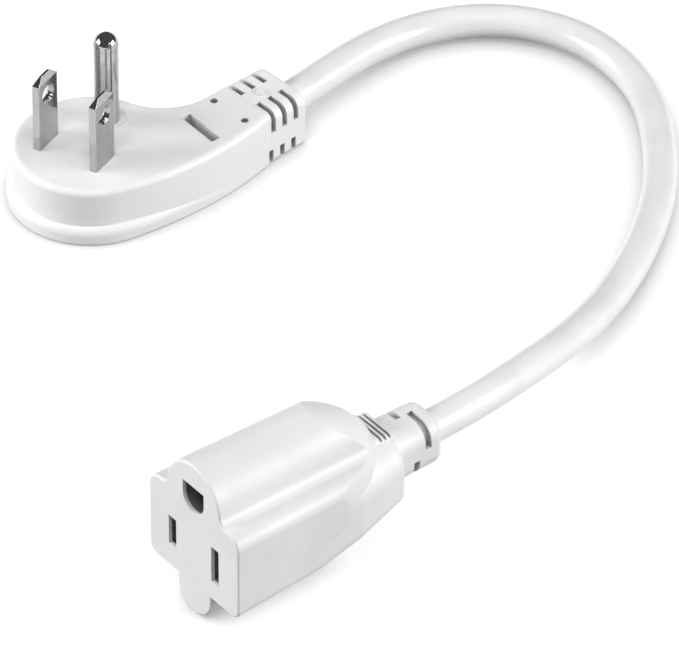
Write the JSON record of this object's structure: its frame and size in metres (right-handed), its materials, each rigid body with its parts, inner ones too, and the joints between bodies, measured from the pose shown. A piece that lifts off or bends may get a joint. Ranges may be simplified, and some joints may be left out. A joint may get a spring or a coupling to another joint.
{
  "type": "flat plug extension cord",
  "caption": "Short white extension cord with a flat low profile grounded plug, round cord in a loose loop and a grounded socket connector.",
  "frame": {"origin": "on the plug's flat back, under the middle of its round head", "axes": "+Z along the prongs, away from the plug's face; +X from the neutral blade to the line blade; +Y from the blades towards the ground pin"},
  "size_m": [0.126, 0.1889, 0.0346],
  "materials": {
    "plug_pvc": "satin moulded white PVC",
    "socket_pvc": "satin moulded white PVC",
    "cord_pvc": "smooth extruded white PVC jacket",
    "nickel_plate": "bright nickel plate on brass",
    "contact_brass": "bare stamped brass strip",
    "copper": "stranded bare copper",
    "carrier": "moulded polypropylene carrier",
    "insulation_white": "PVC core insulation",
    "insulation_black": "PVC core insulation",
    "insulation_green": "PVC core insulation"
  },
  "bodies": {
    "root": {"plug_housing": "plug_pvc", "plug_bridge": "carrier", "neutral_blade": "nickel_plate", "line_blade": "nickel_plate", "ground_pin": "nickel_plate", "cord": "cord_pvc", "socket_housing": "socket_pvc", "socket_core": "carrier", "socket_neutral_contact": "contact_brass", "socket_line_contact": "contact_brass", "socket_ground_contact": "contact_brass", "plug_neutral_lead": "insulation_white", "plug_neutral_conductor": "copper", "plug_line_lead": "insulation_black", "plug_line_conductor": "copper", "plug_ground_lead": "insulation_green", "plug_ground_conductor": "copper", "socket_neutral_lead": "insulation_white", "socket_neutral_conductor": "copper", "socket_line_lead": "insulation_black", "socket_line_conductor": "copper", "socket_ground_lead": "insulation_green", "socket_ground_conductor": "copper"}
  },
  "joints": []
}
